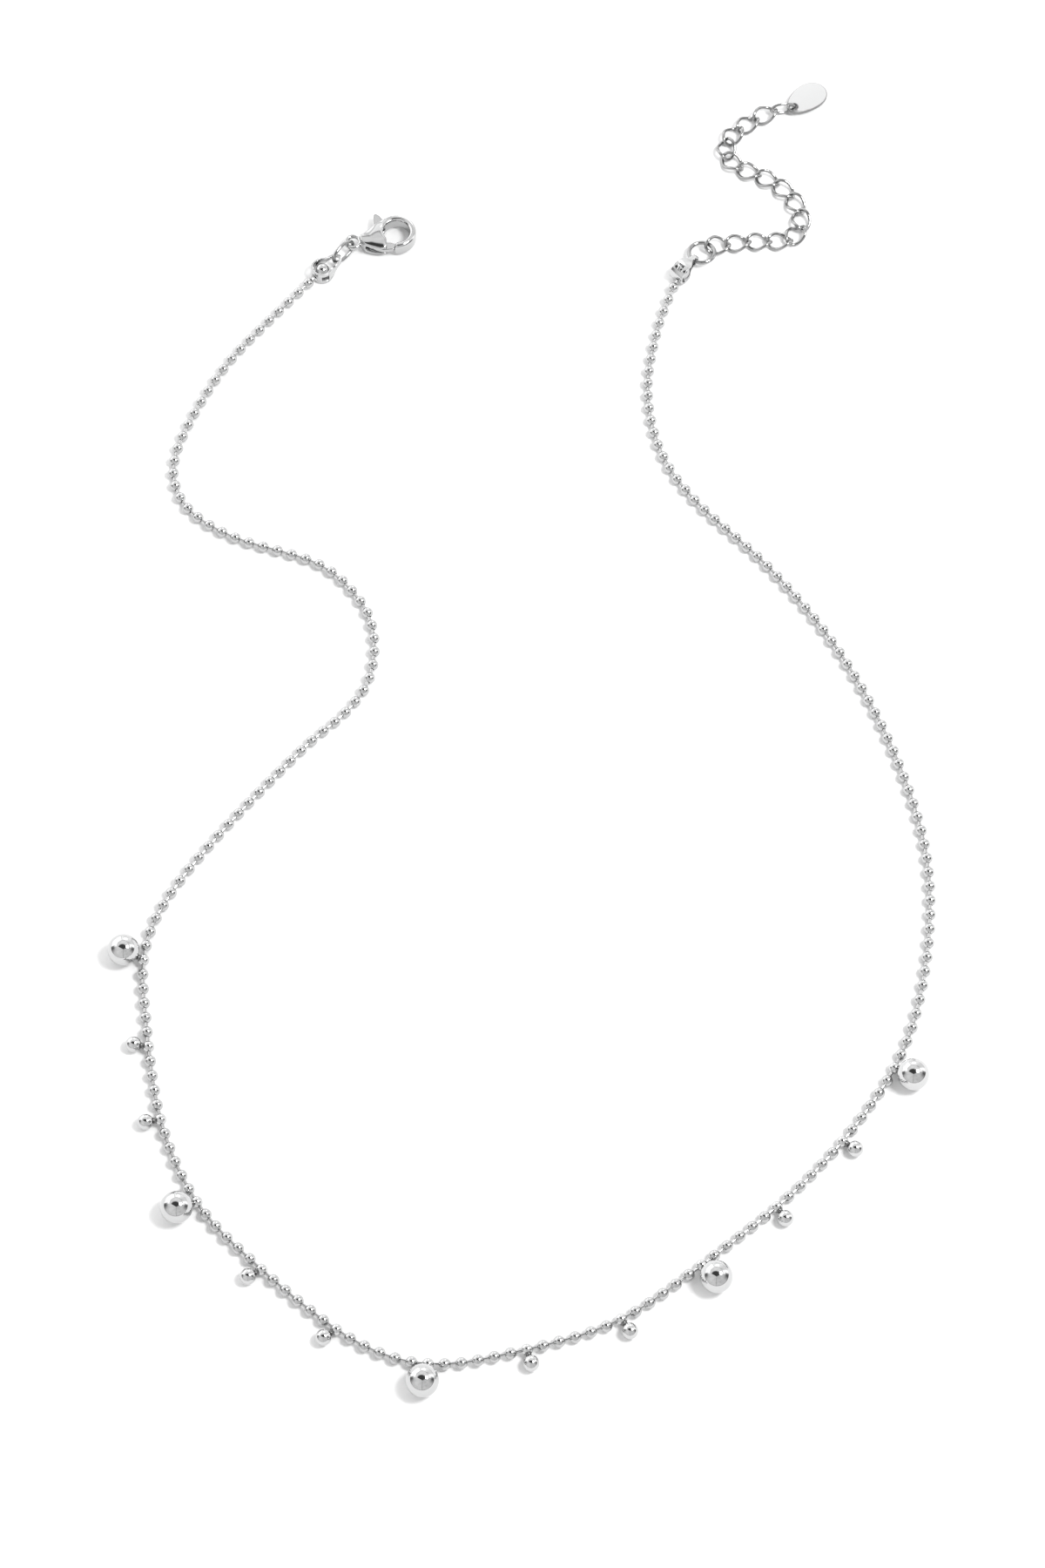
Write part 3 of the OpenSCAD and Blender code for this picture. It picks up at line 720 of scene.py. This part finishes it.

# Rings of the upper side from the hole to the edge: what the gap is measured from, the gap
# (a share of the way, on the flat), the height as a share of half the sheet, and how much
# painted shade the ring takes.
# The lower side has the same rings the other way up.
round_over = [(TAG_ROUND * (1 - math.sin(t)), 1 - (1 - math.cos(t)) * 2 * TAG_ROUND / TAG_SHEET)
              for t in (math.pi / 2 * k / ROUND_STEPS for k in range(ROUND_STEPS + 1))]
rims = [("hole", gap, height, 1.0) for gap, height in reversed(round_over)]
rims += [("hole", TAG_ROUND + TAG_LINE, 1.0, 0.0)]
rims += [("flat", share, 1.0, 0.0) for share in (0.25, 0.5, 0.75)]
rims += [("edge", TAG_ROUND + TAG_LINE, 1.0, 0.0)]
rims += [("edge", gap, height, 1.0) for gap, height in round_over]
rims += [(kind, gap, -height, shade_share) for kind, gap, height, shade_share in reversed(rims)]

work = bmesh.new()
# Painted shade: the rounded edge rings are marked to be painted darker and duller
worn_rim = work.verts.layers.float.new("rim")
rings = []
for kind, gap, height, shade_share in rims:
    rings.append([])
    for k in range(TAG_SIDES):
        t = math.tau * k / TAG_SIDES
        outer = Vector((
            TAG_LENGTH / 2 * (1 + math.cos(t)) - TAG_HOLE_FROM_END,
            TAG_WIDTH / 2 * math.sin(t) * (1 + TAG_TAPER * math.cos(t)) / (1 + TAG_TAPER / 4)))
        reach = outer.length - TAG_HOLE / 2
        out = {"hole": gap, "flat": reach * gap, "edge": reach - gap}[kind]
        spot = outer.normalized() * (TAG_HOLE / 2 + out)
        corner = work.verts.new((spot.x, spot.y, height * TAG_SHEET / 2))
        corner[worn_rim] = shade_share
        rings[-1].append(corner)
skinned(work, rings, closed=True)
mesh = finished(work, "tag_leaf")
mesh.transform(Matrix.Translation((TAG_HOLE_FROM_END - TAG_LENGTH / 2, 0, 0)))
mesh.transform(pose("tag", away_from=box_middle("tag_ring")))
placed("tag_leaf", mesh, ["tag"], satin)


# ---- Table, light tent and camera ----
# The necklace lies on white card inside a white cloth tent. The tent is open at the top, and
# dark where the camera looks in. A lamp stands at the right and a window behind, and the two
# front flaps are in shade.

TABLE_HALF = 3.0

white, nodes = new_material("white_card")
fibre = nodes.node("ShaderNodeTexNoise", {}, {
    "Vector": nodes.node("ShaderNodeTexCoord").part("Object"), "Scale": 90.0, "Detail": 4.0})
nodes.shader(
    Roughness=0.9, Specular_IOR_Level=0.0,
    Base_Color=nodes.mixed(fibre, (0.90, 0.90, 0.90, 1), (0.92, 0.92, 0.92, 1)))
mesh = bpy.data.meshes.new("table_top")
mesh.from_pydata([(TABLE_HALF * a, TABLE_HALF * b, 0)
                  for a, b in ((-1, -1), (1, -1), (1, 1), (-1, 1))], [], [(0, 1, 2, 3)])
mesh.materials.append(white)
table = linked("table_top", mesh)

TENT_RADIUS = 0.62
TENT_SIDES, TENT_STEPS = 96, 24
SIDE_LIGHT, TOP_LIGHT, WINDOW_LIGHT = 1.5, 0.95, 1.6
FLAP_SHADE, RIGHT_FLAP_SHADE, FOLD_SHADE, BACK_SHADE = 0.74, 0.12, 0.62, 0.4
FLAP_SEAM_SHADE, BACK_SEAM_SHADE, CORNER_SHADE = 0.45, 0.6, 0.88
RIM_SHADE, HEM_SHADE, SHAPE_SHADE = 0.6, 0.3, 0.94
WINDOW_WAY, WINDOW_INNER, WINDOW_OUTER = (0.127, 0.873, 0.47), 8, 13
LAMP_WAY, LAMP_DISTANCE, LAMP_SIZE, LAMP_POWER = (0.492, -0.074, 0.868), 0.56, 0.18, 2.1

cloth, nodes = new_material("tent_cloth")
nodes.tree.nodes.clear()
way = nodes.node("ShaderNodeVectorMath", {"operation": "NORMALIZE"}, {
    0: nodes.node("ShaderNodeTexCoord").part("Object")})
place = nodes.node("ShaderNodeSeparateXYZ", {}, {"Vector": way})
x, y, z = place.part("X"), place.part("Y"), place.part("Z")


def band(value, rise, top, fall, end):
    """1 from top to fall, with a soft rise before and a soft fall to end."""
    return between(value, rise, top) * (1 - between(value, fall, end))


# The bearing is 0 at the front, -90 at the left and 90 at the right, in degrees
bearing = nodes.node("ShaderNodeMath", {"operation": "ARCTAN2"}, {0: x, 1: 0 - y})
bearing = bearing * (180 / math.pi)
flaps = band(bearing, -93, -86, 82, 88)
right_flap = between(bearing, -4, 0)
right_fold = band(bearing, 108, 122, 135, 150)
back = between(bearing, 135, 150) + 1 - between(bearing, -176, -160)
flap_seam = band(bearing, -4, -2.2, -2.2, -0.4) * flaps
back_seam = band(bearing, -168, -165.5, -164, -161)
low_down = 1 - between(z, 0.3, 0.66)
corners = (band(bearing, -104, -95, -90, -56) + band(bearing, 48, 86, 90, 102)) * low_down
panel = SIDE_LIGHT - flaps * (FLAP_SHADE + RIGHT_FLAP_SHADE * right_flap)
panel = panel - FOLD_SHADE * right_fold - BACK_SHADE * back
panel = panel - FLAP_SEAM_SHADE * flap_seam - BACK_SEAM_SHADE * back_seam
panel = panel * (1 - CORNER_SHADE * corners)

# The opening's front edge dips in the middle, where the flaps meet
front_edge = y + 0.471 + between(x, 0, 0.001) * -0.265 * x
front_edge = front_edge + (1 - between(x, -0.001, 0)) * 0.62 * x
behind_edge = between(front_edge, -0.01, 0.02)
opening = between(z, 0.72, 0.74) * behind_edge
back_rim = band(z, 0.69, 0.71, 0.725, 0.745) * between(y, -0.1, 0.1)
hem = band(z, 0.01, 0.02, 0.05, 0.08)
light = panel * (1 - opening) + TOP_LIGHT * opening
light = light * (1 - RIM_SHADE * back_rim) * (1 - HEM_SHADE * hem)
folds = nodes.node("ShaderNodeTexNoise", {}, {"Vector": way, "Scale": 3.0, "Detail": 3.0})
light = light * (0.83 + 0.9 * folds)

sideways, forward = (x + 0.1) / 0.56, (y + 0.14) / 0.42
dark_shape = 1 - between(sideways * sideways + forward * forward, 0.35, 1.1)
light = light * (1 - SHAPE_SHADE * dark_shape * behind_edge)
toward_window = nodes.node("ShaderNodeVectorMath", {"operation": "DOT_PRODUCT"}, {
    0: way, 1: unit(WINDOW_WAY)}).part("Value")
window = between(toward_window, math.cos(math.radians(WINDOW_OUTER)),
                 math.cos(math.radians(WINDOW_INNER)))
glow = nodes.node("ShaderNodeEmission", {}, {
    "Color": (1, 1, 1, 1), "Strength": light + WINDOW_LIGHT * window})
nodes.node("ShaderNodeOutputMaterial", {}, {"Surface": glow})

mesh = turned("tent", [
    (TENT_RADIUS * math.cos(t), TENT_RADIUS * math.sin(t))
    for t in (math.pi / 2 * k / TENT_STEPS for k in range(TENT_STEPS))] + [(0, TENT_RADIUS)],
    TENT_SIDES)
mesh.materials.append(cloth)
tent = linked("light_tent", mesh)
tent.visible_camera = False

light = bpy.data.lights.new("lamp_right", "AREA")
light.shape, light.size, light.energy = "DISK", LAMP_SIZE, LAMP_POWER
lamp = linked("lamp_right", light)
lamp.location = Vector(LAMP_WAY) * LAMP_DISTANCE
lamp.rotation_euler = Vector(LAMP_WAY).to_track_quat("Z", "Y").to_euler()
lamp.visible_camera = False

world = bpy.data.worlds.new("room")
world.use_nodes = True
background = world.node_tree.nodes["Background"]
background.inputs["Color"].default_value = (1, 1, 1, 1)
background.inputs["Strength"].default_value = 1.0
bpy.context.scene.world = world
bpy.context.scene.view_settings.view_transform = "Standard"

camera = linked("camera", bpy.data.cameras.new("camera"))
camera.data.sensor_width, camera.data.lens = 36.0, 93.0
camera.data.clip_start, camera.data.clip_end = 0.01, 20.0
camera.location = (-0.00016, -0.26006, 0.4599)
camera.rotation_euler = (math.radians(28.1), 0, 0)
bpy.context.scene.camera = camera
